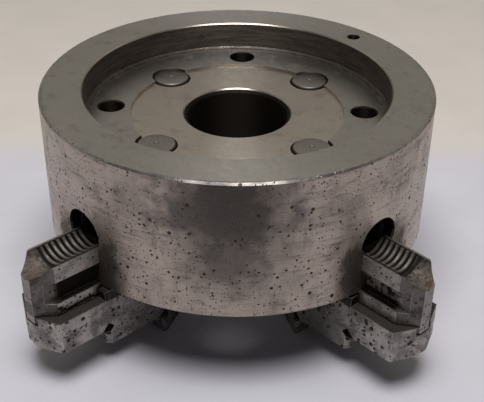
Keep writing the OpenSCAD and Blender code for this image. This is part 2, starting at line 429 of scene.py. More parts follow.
class Nodes:
    """A node tree under construction, with the sums that patterns are made of."""

    def __init__(self, tree):
        self.tree = tree
        self.tree.nodes.clear()

    def node(self, kind, **settings):
        made = self.tree.nodes.new("ShaderNode" + kind)
        for key, value in settings.items():
            setattr(made, key, value)
        return made

    def plug(self, socket, value):
        """Joins a socket to another one, or sets it to a number or a colour."""
        if isinstance(value, bpy.types.NodeSocket):
            self.tree.links.new(value, socket)
        elif value is not None:
            if socket.type == "RGBA" and len(value) == 3:
                value = (*value, 1.0)
            socket.default_value = value

    def split(self, vector):
        made = self.node("SeparateXYZ")
        self.plug(made.inputs[0], vector)
        return made.outputs

    def join(self, x, y, z):
        made = self.node("CombineXYZ")
        for socket, value in zip(made.inputs, (x, y, z)):
            self.plug(socket, value)
        return made.outputs[0]

    def add(self, a, b):
        made = self.node("VectorMath", operation="ADD")
        self.plug(made.inputs[0], a)
        self.plug(made.inputs[1], b)
        return made.outputs[0]

    def stretch(self, vector, factors):
        made = self.node("VectorMath", operation="MULTIPLY")
        self.plug(made.inputs[0], vector)
        self.plug(made.inputs[1], factors)
        return made.outputs[0]

    def math(self, operation, a, b=None, clamp=False):
        made = self.node("Math", operation=operation, use_clamp=clamp)
        self.plug(made.inputs[0], a)
        self.plug(made.inputs[1], b)
        return made.outputs[0]

    def gather(self, operation, values):
        result = values[0]
        for value in values[1:]:
            result = self.math(operation, result, value)
        return result

    def times(self, *values):
        return self.gather("MULTIPLY", values)

    def most(self, *values):
        return self.gather("MAXIMUM", values)

    def total(self, *values):
        return self.gather("ADD", values)

    def less(self, a, b):
        return self.math("SUBTRACT", a, b)

    def rise(self, value, low, high, start=0.0, end=1.0):
        """Goes smoothly from start to end as the value goes from low to high."""
        made = self.node("MapRange", interpolation_type="SMOOTHSTEP")
        self.plug(made.inputs["Value"], value)
        for key, number in (
            ("From Min", low),
            ("From Max", high),
            ("To Min", start),
            ("To Max", end),
        ):
            self.plug(made.inputs[key], number)
        return made.outputs[0]

    def band(self, value, low, high, soft):
        """1 where the value lies between low and high, with soft ends."""
        return self.times(
            self.rise(value, low - soft, low + soft),
            self.rise(value, high - soft, high + soft, 1.0, 0.0),
        )

    def reach(self, a, b):
        """The distance from an axis, from two coordinates across it."""
        return self.math("SQRT", self.total(self.times(a, a), self.times(b, b)))

    def mix(self, amount, a, b, blend="MIX"):
        """Mixes two colours."""
        made = self.node("Mix", data_type="RGBA", blend_type=blend)
        self.plug(made.inputs[0], amount)
        self.plug(made.inputs[6], a)
        self.plug(made.inputs[7], b)
        return made.outputs[2]


# Colours of what wear leaves on the steel, and of the painted dark reflection and painted shade
BARE = (0.56, 0.54, 0.52)
BROWN_STAIN = (0.14, 0.105, 0.08)
# Colour of the painted dark reflection on the body's outside
PAINTED_DARK_REFLECTION = (0.045, 0.045, 0.052)
SPECKS = (0.05, 0.037, 0.03)
PIT_HALO, PIT_FLOOR = (0.085, 0.058, 0.042), (0.022, 0.016, 0.013)
OLD_RUST = (0.12, 0.07, 0.04)
# Colour of grime, and of the painted shade in slots, holes, gaps and grooves
GRIME_AND_SHADE = (0.020, 0.0155, 0.0125)


class Finish(Nodes):
    """A procedural finish under construction. Its patterns stay put on the piece."""

    def __init__(self, name, seed=0.0):
        self.material = bpy.data.materials.new(name)
        self.material.use_nodes = True
        super().__init__(self.material.node_tree)
        self.shader = self.node("BsdfPrincipled")
        self.plug(self.node("OutputMaterial").inputs["Surface"], self.shader.outputs[0])
        self.coordinates = self.node("TexCoord")
        scaled = self.node("VectorMath", operation="SCALE")
        scaled.inputs["Scale"].default_value = 1 / MM
        self.plug(scaled.inputs[0], self.coordinates.outputs["Object"])
        self.place = scaled.outputs[0]
        self.x, self.y, self.z = self.split(self.place)
        self.shifted = self.add(self.place, (seed * 37.1, seed * -21.7, seed * 53.3))

    def noise(self, size, detail=3.0, rough=0.55, vector=None):
        """Smooth noise whose features are about so many millimetres wide."""
        made = self.node("TexNoise")
        self.plug(made.inputs["Vector"], self.shifted if vector is None else vector)
        for key, number in (
            ("Scale", 1 / size),
            ("Detail", detail),
            ("Roughness", rough),
        ):
            self.plug(made.inputs[key], number)
        return made.outputs["Fac"]

    def cells(self, size, vector):
        """Scattered cells: the distance from each one's middle, and its own numbers."""
        made = self.node("TexVoronoi")
        self.plug(made.inputs["Vector"], vector)
        self.plug(made.inputs["Scale"], 1 / size)
        return made.outputs["Distance"], self.split(made.outputs["Color"])

    def pits(self, size, radius, share):
        """Corrosion pits: scattered, of mixed sizes, with ragged outlines."""
        wander = self.node("TexNoise")
        self.plug(wander.inputs["Vector"], self.shifted)
        self.plug(wander.inputs["Scale"], 1.6 / radius)
        self.plug(wander.inputs["Detail"], 2.0)
        moved = self.node("VectorMath", operation="MULTIPLY_ADD")
        self.plug(moved.inputs[0], wander.outputs["Color"])
        self.plug(moved.inputs[1], (radius * 0.7,) * 3)
        self.plug(moved.inputs[2], self.shifted)
        distance, chance = self.cells(size, moved.outputs[0])
        own = self.rise(chance[0], 0.0, 1.0, 0.35 * radius / size, radius / size)
        inside = self.math(
            "SUBTRACT", 1.0, self.math("DIVIDE", distance, own), clamp=True
        )
        there = self.math("LESS_THAN", chance[1], share)
        return self.times(self.rise(inside, 0.0, 0.45), there)

    def patch(self, middle, radii, ragged=0.35, size=14.0):
        """A soft round patch, 1 in its middle, with an uneven outline."""
        away = self.stretch(
            self.add(self.place, tuple(-m for m in middle)),
            tuple(1 / r for r in radii),
        )
        length = self.node("VectorMath", operation="LENGTH")
        self.plug(length.inputs[0], away)
        uneven = self.rise(self.noise(size, 4.0, 0.6), 0.25, 0.75, -ragged, ragged)
        return self.rise(self.total(length.outputs["Value"], uneven), 0.35, 1.0, 1.0, 0.0)

    def bump(self, height):
        """Raises the surface by a height in millimetres."""
        made = self.node("Bump")
        self.plug(made.inputs["Height"], height)
        made.inputs["Strength"].default_value = 1.0
        made.inputs["Distance"].default_value = MM
        self.plug(self.shader.inputs["Normal"], made.outputs["Normal"])

    def facing_up(self):
        """1 on faces square to the chuck's axis, 0 on its sides."""
        normal = self.split(self.coordinates.outputs["Normal"])
        return self.rise(self.math("ABSOLUTE", normal[2]), 0.6, 0.9)

    def turned(self):
        """Marks of the lathe tool around the chuck's axis, on its sides and its faces."""
        along = self.node("Mix", data_type="FLOAT")
        self.plug(along.inputs[0], self.facing_up())
        self.plug(along.inputs[2], self.z)
        self.plug(along.inputs[3], self.reach(self.x, self.y))
        drift_x, drift_y, _ = self.split(self.stretch(self.place, (0.012, 0.012, 0.0)))
        vector = self.join(along.outputs[0], drift_x, drift_y)
        coarse, fine = (self.noise(size, 2.0, 0.7, vector) for size in (1.5, 0.45))
        return self.total(self.times(coarse, 0.6), self.times(fine, 0.4))

    def bare_steel(self, color, lines, line_tone, mottle, blotch, grit):
        """The colour of steel that is only handled: uneven, stained and speckled."""
        tone = self.total(
            0.8,
            self.times(self.noise(26.0, 4.0, 0.6), 0.26),
            self.times(mottle, 0.16),
            self.times(self.less(lines, 0.5), line_tone * 2),
        )
        base = self.mix(1.0, color, self.join(tone, tone, tone), "MULTIPLY")
        base = self.mix(self.times(blotch, 0.3), base, BROWN_STAIN)
        if grit:
            speck = self.rise(self.noise(0.8, 4.0, 0.7), 0.52, 0.66)
            patchy = self.rise(self.noise(12.0, 3.0), 0.35, 0.65, 0.25, 1.0)
            base = self.mix(self.times(speck, patchy, grit), base, SPECKS)
        return base

    def steel(
        self,
        color,
        lines,
        line_depth=0.01,
        line_tone=0.12,
        pits=None,
        dark=None,
        dirt_and_shade=None,
        rust=None,
        rust_color=OLD_RUST,
        rough=0.38,
        clean=None,
        anisotropy=0.0,
        grit=0.0,
    ):
        """Worn steel: tool marks, stains, pits, rust, grime and painted shade over bare metal, with a painted dark
        reflection where one is given.
        """
        mottle = self.noise(3.0, 4.0, 0.65)
        blotch = self.rise(self.noise(9.0, 5.0, 0.65), 0.52, 0.72)
        base = self.bare_steel(color, lines, line_tone, mottle, blotch, grit)
        worn = self.times(blotch, 0.3)
        depth = self.total(self.times(lines, line_depth), self.times(mottle, 0.006))
        cover = None
        if clean is not None:
            base = self.mix(clean, base, BARE)
        # Painted reflection: darkens the colour where dark surroundings would be mirrored
        if dark is not None:
            base = self.mix(dark, base, PAINTED_DARK_REFLECTION)
        if pits is not None:
            halo = self.rise(pits, 0.0, 0.5)
            base = self.mix(self.times(halo, 0.7), base, PIT_HALO)
            base = self.mix(self.rise(pits, 0.2, 0.8), base, PIT_FLOOR)
            depth = self.less(depth, self.times(pits, 0.22))
            cover = pits
        if rust is not None:
            grain = self.noise(0.9, 5.0, 0.7)
            light = tuple(min(1.0, c * 1.9) for c in rust_color)
            scale = self.mix(self.rise(grain, 0.35, 0.7), rust_color, light)
            base = self.mix(rust, base, scale)
            depth = self.total(depth, self.times(grain, rust, 0.08))
            cover = rust if cover is None else self.most(cover, rust)
        # Grime, and painted shade in slots, holes, gaps and grooves
        if dirt_and_shade is not None:
            base = self.mix(dirt_and_shade, base, GRIME_AND_SHADE)
            worn = self.total(worn, dirt_and_shade)
        self.plug(self.shader.inputs["Base Color"], base)
        roughness = self.total(
            rough - 0.08, self.times(mottle, 0.1), self.times(worn, 0.35)
        )
        metal = 1.0
        if cover is not None:
            metal = self.less(1.0, self.times(cover, 0.9))
            roughness = self.total(roughness, self.times(cover, 0.35))
        self.plug(self.shader.inputs["Metallic"], metal)
        roughness = self.math("MINIMUM", roughness, 0.92)
        self.plug(self.shader.inputs["Roughness"], roughness)
        if anisotropy:
            self.shader.inputs["Anisotropic"].default_value = anisotropy
            self.shader.inputs["Anisotropic Rotation"].default_value = 0.25
            tangent = self.node("Tangent", direction_type="RADIAL", axis="Z")
            self.plug(self.shader.inputs["Tangent"], tangent.outputs[0])
        self.bump(depth)
        return self.material


def ground_marks(f, factors):
    """Fine straight marks of a grinding wheel, drawn out along one axis."""
    return f.noise(0.7, 3.0, 0.7, f.stretch(f.shifted, factors))


def body_pits(f, share, outside):
    """Pits of three sizes on the outside, denser low down, and a few on the faces."""
    low_down = f.rise(f.z, BACK_Z - 10, BACK_Z - 40, 0.6, 1.0)
    big = f.times(f.pits(4.2, 1.3, share), f.rise(f.noise(11.0, 2.0), 0.44, 0.58))
    middling = f.times(f.pits(2.4, 0.8, share), f.rise(f.noise(8.0, 2.0), 0.40, 0.54))
    density = f.rise(f.noise(30.0, 3.0), 0.36, 0.58, 0.4, 1.0)
    small = f.times(f.pits(1.4, 0.42, share), density)
    pits = f.times(f.most(big, middling, small), outside, low_down)
    return f.most(pits, f.times(f.pits(7.0, 0.5, 0.35), 0.6))


def at_rim(degrees, z):
    """A place on the body's outside, at an angle from +X."""
    turn = math.radians(degrees)
    return (BODY_RADIUS * math.cos(turn), BODY_RADIUS * math.sin(turn), z)


def painted_reflection_patches(f, outside):
    """Painted reflection: two dark patches on the outside between the first and the fourth jaw, where dark
    surroundings would be mirrored.
    """
    upper = f.patch(at_rim(-45, BACK_Z - 14), (44, 44, 36))
    lower = f.patch(at_rim(-45, BACK_Z - 40), (26, 26, 26))
    return f.times(f.most(upper, f.times(lower, 0.8)), 0.66, outside)


def side_grime_and_slot_shade(f, streaks):
    """Painted shade beside the jaw slots, and grime in runs, streaks and clouds on the outside."""
    # Painted shade on each side of every jaw slot
    slot_shade_smudges = [
        f.patch(at_rim(90 * (n - 1) + side, FRONT_Z + 13), (12, 12, 26), 0.25, 9.0)
        for n in JAWS
        for side in (-9, 9)
    ]
    runs = f.noise(5.0, 4.0, 0.65, f.stretch(f.shifted, (1.0, 1.0, 0.12)))
    grimy = f.times(f.rise(runs, 0.54, 0.75), 0.16)
    grimy = f.most(grimy, f.times(f.rise(streaks, 0.5, 0.72), 0.3))
    clouds = f.noise(20.0, 5.0, 0.6)
    grimy = f.total(grimy, f.times(f.rise(clouds, 0.42, 0.74), 0.24))
    return f.most(f.times(f.most(*slot_shade_smudges), 0.72), grimy)


def hole_wall(f, x, y, hole_r):
    """The wall of an upright hole, from two coordinates across its axis."""
    return f.rise(f.reach(x, y), hole_r + 0.9, hole_r + 0.5)


def body_grime_and_shade(f, radius, outside):
    """Grime outside, painted shade beside and inside the jaw slots and in the holes, and grime with painted shade
    on the recess's wall and in its corner.
    """
    streaks = f.noise(3.0, 4.0, 0.7, f.stretch(f.shifted, (0.15, 0.15, 1.6)))
    # Painted shade inside the jaw slots
    slots = f.times(
        f.rise(radius, BODY_RADIUS - 0.9, BODY_RADIUS - 1.6),
        f.band(f.z, FRONT_Z + 0.5, FLOOR_Z - 2.2, 0.2),
        0.98,
    )
    # Grime streaks with painted shade on the wall of the register
    wall = f.times(
        f.band(radius, REGISTER_R - 0.4, REGISTER_R + 0.3, 0.15),
        f.band(f.z, FLOOR_Z + 1.0, BACK_Z - 0.8, 0.2),
        f.rise(streaks, 0.35, 0.65, 0.72, 0.86),
    )
    bolt_x, bolt_y = (
        f.less(f.math("ABSOLUTE", place), BOLT_CIRCLE_R * 0.5**0.5) for place in (f.x, f.y)
    )
    # Painted shade in the bolt holes, the pin hole and the bore
    holes = f.most(
        hole_wall(f, bolt_x, bolt_y, BOLT_HOLE_R),
        hole_wall(f, f.x, f.less(f.y, PIN_AT), PIN_HOLE_R),
        f.rise(radius, BORE_R + 0.8, BORE_R + 0.1),
    )
    # Grime with painted shade in the corner at the foot of the register
    corner = f.times(
        f.band(radius, REGISTER_R - 3.2, REGISTER_R + 0.8, 0.8),
        f.band(f.z, FLOOR_Z - 2, FLOOR_Z + 2.5, 1.0),
        f.rise(f.noise(6.0, 4.0), 0.35, 0.6),
        0.55,
    )
    side = f.times(side_grime_and_slot_shade(f, streaks), outside)
    return f.most(side, slots, wall, f.times(holes, 0.98), corner)


def body_finish(settings, name, edge=False):
    """Turned steel, pitted on its outside, stained and a little greasy, with painted shade, a painted dark
    reflection and a lighter sunk disc.
    """
    f = Finish(name, seed=1.0)
    radius = f.reach(f.x, f.y)
    outside = f.rise(radius, BODY_RADIUS - 2.6, BODY_RADIUS - 1.2)
    nicked = f.rise(f.noise(2.2, 4.0), 0.38, 0.58, 0.0, 0.8)
    chamfer = f.times(
        f.rise(radius, BODY_RADIUS - 1.1, BODY_RADIUS - 0.9),
        f.rise(f.z, BACK_Z - 1.1, BACK_Z - 0.95),
    )
    pits = body_pits(f, settings.pitting, outside)
    color = f.mix(f.facing_up(), settings.side_color, settings.color)
    # The sunk disc painted lighter: partly cleaner steel, partly a painted sheen
    disc = f.times(
        f.rise(radius, DISC_R + 0.5, DISC_R), f.rise(f.z, FLOOR_Z - 3, FLOOR_Z - 2), 0.6
    )
    return f.steel(
        f.mix(disc, color, (0.52, 0.47, 0.41)),
        f.turned(),
        line_depth=0.012 * settings.turning,
        line_tone=0.10 * settings.turning,
        pits=f.times(pits, 0.4) if edge else pits,
        # Painted dark reflection on the outside
        dark=painted_reflection_patches(f, outside),
        dirt_and_shade=body_grime_and_shade(f, radius, outside),
        rough=0.30 if edge else 0.36,
        clean=nicked if edge else f.times(nicked, chamfer),
        anisotropy=0.7,
        grit=0.3,
    )


def plug_finish(settings, name, number):
    """Turned rings on the heads of the thrust blocks, with painted shade around each head, in the gap below it and
    over its pip.
    """
    f = Finish(name, seed=10.0 + number)
    across = f.reach(f.less(f.x, BLOCK_AT), f.y)
    rings = f.noise(0.5, 2.0, 0.8, f.join(across, f.times(f.y, 0.01), 0.0))
    coarse = f.noise(1.6, 2.0, 0.6, f.join(across, f.times(f.x, 0.01), 0.0))
    lines = f.total(f.times(rings, 0.55), f.times(coarse, 0.45))
    # Painted shade around the edge of the head
    rim = f.rise(across, 8.7, 9.6)
    # Painted shade over the pip, damping its highlight
    pip = f.rise(across, 1.8, 1.3, 0.0, 0.22)
    # Painted shade in the gap below the head
    plug_gap_shade = f.rise(f.z, FLOOR_Z - 1.0, FLOOR_Z - 1.6, 0.0, 0.95)
    dirt_and_shade = f.most(f.times(rim, 0.9), pip, plug_gap_shade)
    return f.steel(
        settings.plug_color,
        lines,
        line_depth=0.04,
        line_tone=0.5,
        pits=f.times(f.pits(3.5, 0.45, 0.3), 0.6),
        dirt_and_shade=dirt_and_shade,
        rough=0.34,
    )


def from_screw(f):
    """The distance from a jaw screw's axis."""
    return f.reach(f.y, f.less(f.z, SCREW_Z))


def half_nut_rust(f, out):
    """Rust in the plain bowl at the outer end of a half nut, fading inwards."""
    bowl = f.rise(from_screw(f), SCREW_R + 1.4, SCREW_R + 0.5)
    end = f.rise(f.x, out - 15, out - 3)
    uneven = f.rise(f.noise(3.5, 5.0, 0.7), 0.42, 0.62, 0.25, 1.0)
    low = f.rise(f.z, SCREW_Z - 3, SCREW_Z - 7)
    return f.times(bowl, end, uneven, low)


def groove_grime_and_shade(f, out, number, side):
    """Caked grime and painted shade on the web of a master jaw's groove, thinner near its outer end."""
    web = f.times(
        f.rise(side, RIB_HALF - 0.6, RIB_HALF - 1.2), f.rise(side, 5.4, 6.4)
    )
    groove = f.times(web, f.band(f.z, GROOVE_LOW_Z - 0.5, GROOVE_HIGH_Z + 0.5, 0.3))
    mottled = f.rise(f.noise(3.2, 5.0, 0.7), 0.42, 0.6, 0.45, 0.95)
    bottom = f.rise(f.z, GROOVE_LOW_Z + 6.0, GROOVE_LOW_Z + 2.0)
    # Grime with painted shade: near black on every jaw but one
    fouling_and_shade = f.most(mottled, bottom if number == LEAST_DARKENED_GROOVE_JAW else 0.98)
    near_end = f.rise(f.x, out - FACET_LEN - 4, out - FACET_LEN + 2)
    return f.times(groove, fouling_and_shade, f.less(1.0, f.times(near_end, 0.75)))


def facet_film_and_shade(f, out, smear):
    """A film and painted shade on the facets at a master jaw's outer end, thicker towards its nose."""
    # Painted shade with a film of grime on the end facets
    facet = f.times(f.rise(f.x, out - FACET_LEN - 0.2, out - FACET_LEN + 0.2), 0.5)
    facet = f.total(facet, f.times(f.rise(f.x, out - 9, out - 2), smear, 0.25))
    return f.times(facet, f.rise(f.x, out - 0.1, out - 0.4, 0.45, 1.0))


def rubbed_patch(f, out, on_side):
    """The patch on the chipped jaw's lower rib that wear keeps bright."""
    ragged = f.rise(f.noise(2.6, 4.0, 0.65), 0.3, 0.7, -2.2, 2.2)
    return f.times(
        f.band(f.total(f.z, ragged), SEAT_Z + 2.6, GROOVE_LOW_Z + 1.6, 0.3),
        f.band(f.total(f.x, ragged), out - 32, out - FACET_LEN + 0.3, 0.4),
        on_side,
    )


def jaw_steel(f, color, edge, *, pits, dirt_and_shade, line_tone, grit, **more):
    """Ground steel of a jaw. Its broken edges are cleaner and brighter."""
    return f.steel(
        color,
        line_depth=0.006,
        line_tone=line_tone,
        pits=f.times(pits, 0.4 if edge else 0.95),
        dirt_and_shade=f.times(dirt_and_shade, 0.6 if edge else 1.0),
        rough=0.34 if edge else 0.42,
        grit=0.25 if edge else grit,
        **more,
    )


def master_finish(settings, name, number, edge=False):
    """Ground steel with grime and painted shade in its grooves, a film and painted shade on its end facets, and
    rust in its half nut.
    """
    f = Finish(name, seed=20.0 + number)
    out = jaw_out(number)
    side = f.math("ABSOLUTE", f.y)
    on_side = f.rise(side, RIB_HALF - 0.5, RIB_HALF - 0.2)
    rust = half_nut_rust(f, out)
    smear = f.rise(f.noise(7.0, 4.0, 0.65), 0.42, 0.62)
    low_rib = f.band(f.z, SEAT_Z, GROOVE_LOW_Z + 0.3, 0.3)
    clean = f.rise(f.noise(2.2, 4.0), 0.35, 0.6, 0.1, 0.8) if edge else None
    if number == CHIPPED_JAW:
        rubbed = rubbed_patch(f, out, on_side)
        low_rib = f.times(
            low_rib, f.rise(f.x, out - 8, out - 11, 0.55, 0.88), f.less(1.0, rubbed)
        )
        if not edge:
            clean = f.times(rubbed, 0.35)
    else:
        low_rib = f.times(low_rib, smear, 0.5)
    joint_line = f.times(
        f.band(f.z, SEAT_Z - 0.4, SEAT_Z + 0.75, 0.15),
        f.rise(f.x, out - 0.1, out - 0.6),
        0.92,
    )
    bowl = f.times(
        f.rise(from_screw(f), SCREW_R + 1.2, SCREW_R + 0.4),
        f.rise(f.noise(2.0, 4.0, 0.7), 0.35, 0.65, 0.55, 0.9),
        f.less(1.0, f.times(rust, 0.75)),
    )
    dirt_and_shade = f.most(
        groove_grime_and_shade(f, out, number, side),
        low_rib,
        joint_line,
        facet_film_and_shade(f, out, smear),
        f.times(smear, 0.25),
        bowl,
    )
    pits = f.most(
        f.pits(3.0, 0.85, settings.pitting),
        f.times(f.pits(1.5, 0.4, 0.8), 0.9),
        f.times(f.pits(2.4, 0.9, 0.75), f.rise(f.noise(9.0, 3.0), 0.4, 0.55), on_side),
    )
    return jaw_steel(
        f,
        settings.master_color,
        edge,
        pits=pits,
        dirt_and_shade=dirt_and_shade,
        line_tone=0.09,
        grit=0.7,
        lines=ground_marks(f, (0.02, 1.0, 1.0)),
        rust=f.times(rust, 0.85),
        rust_color=settings.rust_color,
        clean=clean,
    )


def relief_slot_darkening(f, out):
    """Darkens the round relief slots at the foot of each riser."""
    slots = [
        f.rise(
            f.reach(f.less(f.x, out - back), f.less(f.z, FRONT_Z - drop)),
            RELIEF_R + 0.1,
            RELIEF_R - 0.1,
        )
        for back, drop in STEPS
    ]
    inside = f.rise(f.math("ABSOLUTE", f.y), TOP_HALF - 0.1, TOP_HALF - 0.4)
    return f.times(f.most(*slots), inside, 0.97)


def top_finish(settings, name, number, edge=False):
    """Ground steel of a top jaw, pitted and smudged."""
    f = Finish(name, seed=30.0 + number)
    out = jaw_out(number)
    cluster = f.rise(f.noise(13.0, 3.0), 0.38, 0.52, 0.2, 1.0)
    pits = f.most(
        f.times(f.pits(3.4, 1.5, settings.pitting), cluster),
        f.times(f.pits(1.7, 0.6, 0.85), cluster, 0.9),
        f.times(f.pits(5.0, 0.8, 0.6), 0.8),
    )
    smear = f.rise(f.noise(12.0, 5.0, 0.65), 0.42, 0.62)
    seat = f.times(f.rise(f.z, SEAT_Z - 0.5, SEAT_Z - 0.1), 0.86)
    shoulder = f.times(
        f.rise(f.z, SEAT_Z, SEAT_Z + 0.3),
        f.band(f.x, out - SHOULDER_BACK - 1.5, out - SHOULDER_BACK + 0.5, 0.2),
        0.97,
    )
    channel = f.times(
        f.rise(f.math("ABSOLUTE", f.y), CHANNEL_HALF + 0.2, CHANNEL_HALF - 0.2),
        f.band(f.z, SEAT_Z - TONGUE_H - 1.2, SEAT_Z - 0.3, 0.15),
        0.95,
    )
    runs = f.noise(4.0, 4.0, 0.65, f.stretch(f.shifted, (1.0, 1.0, 0.3)))
    dirt_and_shade = f.most(
        f.times(smear, 0.5),
        f.times(f.rise(runs, 0.5, 0.7), 0.35),
        seat,
        shoulder,
        channel,
        relief_slot_darkening(f, out),
    )
    return jaw_steel(
        f,
        settings.top_color,
        edge,
        pits=pits,
        dirt_and_shade=dirt_and_shade,
        line_tone=0.08,
        grit=0.65,
        lines=ground_marks(f, (1.0, 0.02, 1.0)),
        clean=f.rise(f.noise(2.4, 4.0), 0.35, 0.6, 0.1, 0.8) if edge else None,
    )


def thread_finish(color, name, seed, crest, root, rust=None, rust_color=OLD_RUST):
    """Oily thread: bright on the crests that rub, dark at the roots."""
    f = Finish(name, seed=seed)
    axis = from_screw(f)
    lines = f.noise(0.5, 3.0, 0.7, f.stretch(f.shifted, (1.0, 0.1, 0.1)))
    polished = f.rise(axis, (crest * 3 + root) / 4, crest)
    deep = f.rise(axis, crest, (crest + root) / 2)
    oily = f.rise(f.noise(3.0, 3.0), 0.3, 0.6, 0.3, 0.6)
    grime = f.most(deep, oily)
    return f.steel(
        color,
        lines,
        line_depth=0.004,
        line_tone=0.1,
        dirt_and_shade=f.times(grime, 0.94),
        rust=f.times(rust(f), 0.5) if rust else None,
        rust_color=rust_color,
        rough=0.46,
        clean=f.times(polished, 0.3),
    )


def bolt_finish(settings, name):
    """Black oxide, rubbed bare on its corners."""
    f = Finish(name, seed=50.0)
    lines = f.noise(0.6, 3.0, 0.7)
    rubbed = f.rise(f.noise(2.6, 4.0), 0.55, 0.7)
    return f.steel(
        settings.bolt_color,
        lines,
        line_depth=0.006,
        line_tone=0.2,
        clean=f.times(rubbed, 0.5),
        rough=0.45,
    )


# ---- Threads ----

# Widths of the ridges: the half nuts' are broad, the screws' fit between them
NUT_WIDTH, SCREW_WIDTH = 1.3, 0.68
# One turn of the thread: place along the axis in pitches, and height as a share
THREAD_FORM = (
    (-0.33, 0.0),
    (-0.29, 0.12),
    (-0.19, 0.9),
    (-0.15, 1.0),
    (0.15, 1.0),
    (0.19, 0.9),
    (0.29, 0.12),
    (0.33, 0.0),
)


def thread_height(phase, width):
    """Height of the thread's form at a place along one pitch, as a share."""
    phase = (phase + 0.5) % 1.0 - 0.5
    points = [(-0.67, 0.0), *((at * width, high) for at, high in THREAD_FORM), (0.67, 0.0)]
    for (a, low), (b, high) in zip(points, points[1:]):
        if a <= phase <= b:
            return low + (high - low) * (phase - a) / (b - a)
    return 0.0


def thread_rows(start, end, width, offset=0.0):
    """Places of the thread form's corners along the axis, with a turn to spare."""
    first = math.floor(start / PITCH - offset) - 2
    last = math.ceil(end / PITCH - offset) + 2
    return [
        (turn + offset + phase * width) * PITCH
        for turn in range(first, last + 1)
        for phase, _ in THREAD_FORM
    ]


def threaded_rings(start, end, columns, depth, chamfered):
    """Rings of points around a screw's axis that follow its left-hand thread. A chamfer
    cuts the thread down towards one end."""
    rings = []
    for row in thread_rows(start, end, SCREW_WIDTH):
        ring = []
        for column in range(columns):
            turn = column / columns
            x = min(max(row - PITCH * (turn - 0.5), start), end)
            height = thread_height(x / PITCH + turn - 0.5, SCREW_WIDTH)
            radius = SCREW_R - depth * (1 - height)
            radius = min(radius, SCREW_R - SCREW_CHAMFER + abs(x - chamfered))
            angle = math.tau * turn
            ring.append((x, radius * math.cos(angle), radius * math.sin(angle) + SCREW_Z))
        rings.append(ring)
    return rings


# ---- The pieces ----


class CHUCK_OT_body(bpy.types.Operator):
    """Makes the chuck body: broken edges and turned, pitted steel"""

    bl_idname = "chuck.body"
    bl_label = "Body"

    def execute(self, context):
        settings = context.scene.chuck_body
        bm = cad_bmesh("chuck_body")

        def small_step(p):
            radius = math.hypot(p.x, p.y)
            near_foot = REGISTER_R - 3.5 < radius < REGISTER_R + 0.1
            return near_foot and p.z < FLOOR_Z + 2

        fine = set(sharp_edges(bm, small_step))
        broad = [edge for edge in sharp_edges(bm) if edge not in fine]
        break_edges(bm, broad, settings.edge_break)
        break_edges(bm, sharp_edges(bm, small_step), settings.edge_break * 0.4, 1)
        finishes = [
            body_finish(settings, "body_steel"),
            body_finish(settings, "body_edge_steel", edge=True),
        ]
        obj = finish_mesh(bm, "body", finishes)
        stands_for(obj, "chuck_body", "chuck")
        return {"FINISHED"}


class CHUCK_OT_thrust_blocks(bpy.types.Operator):
    """Makes the four thrust blocks, whose turned heads show in the recess"""

    bl_idname = "chuck.thrust_blocks"
    bl_label = "Thrust blocks"

    def execute(self, context):
        settings = context.scene.chuck_body

        def not_the_pip(p):
            return math.hypot(p.x - BLOCK_AT, p.y) > PIP_ROOM

        for number in JAWS:
            bm = cad_bmesh(f"thrust_block_{number}", number)
            break_edges(bm, sharp_edges(bm, not_the_pip), settings.edge_break * 0.5)
            finish = plug_finish(settings, f"plug_steel_{number}", number)
            obj = finish_mesh(bm, f"thrust_block_piece_{number}", [finish, finish], number)
            stands_for(obj, f"thrust_block_{number}", "chuck")
        return {"FINISHED"}


class CHUCK_OT_screws(bpy.types.Operator):
    """Makes the four jaw screws: left-hand thread, thrust neck and square key socket"""

    bl_idname = "chuck.screws"
    bl_label = "Jaw screws"

    def execute(self, context):
        settings = context.scene.chuck_thread
        depth = settings.depth / MM
        bm = skin(self.rings(settings.columns, depth))
        clean_up(bm)
        bm = cut(bm, self.socket_cutter())
        finish = thread_finish(
            settings.color, "screw_steel", 40.0, SCREW_R, SCREW_R - depth
        )
        mesh = smooth_mesh(bm, "jaw_screw", [finish], 32)
        for number in JAWS:
            obj = even_object(f"jaw_screw_piece_{number}", mesh.copy(), number)
            stands_for(obj, f"jaw_screw_{number}", f"screw_{number}")
        return {"FINISHED"}

    def rings(self, columns, depth):
        """Rings from the inner end of a screw to its outer end, past its neck."""
        inner_end, outer_end = BLOCK_AT - NECK_HALF, BLOCK_AT + NECK_HALF
        turns = [math.tau * column / columns for column in range(columns)]
        neck = [
            [(x, NECK_R * math.cos(t), SCREW_Z + NECK_R * math.sin(t)) for t in turns]
            for x in (inner_end, outer_end)
        ]
        return [
            *threaded_rings(SCREW_IN, inner_end, columns, depth, SCREW_IN),
            *neck,
            *threaded_rings(outer_end, SCREW_OUT, columns, depth, SCREW_OUT),
        ]

    def socket_cutter(self):
        """The square key socket with its chamfered mouth."""
        past = 1.0
        sections = (
            (SCREW_OUT - SOCKET_DEEP, SOCKET_HALF),
            (SCREW_OUT - SOCKET_MOUTH, SOCKET_HALF),
            (SCREW_OUT + past, SOCKET_HALF + SOCKET_MOUTH + past),
        )
        corners = ((1, 1), (-1, 1), (-1, -1), (1, -1))
        bm = skin([[(x, y * h, z * h + SCREW_Z) for y, z in corners] for x, h in sections])
        bmesh.ops.recalc_face_normals(bm, faces=bm.faces)
        return bm


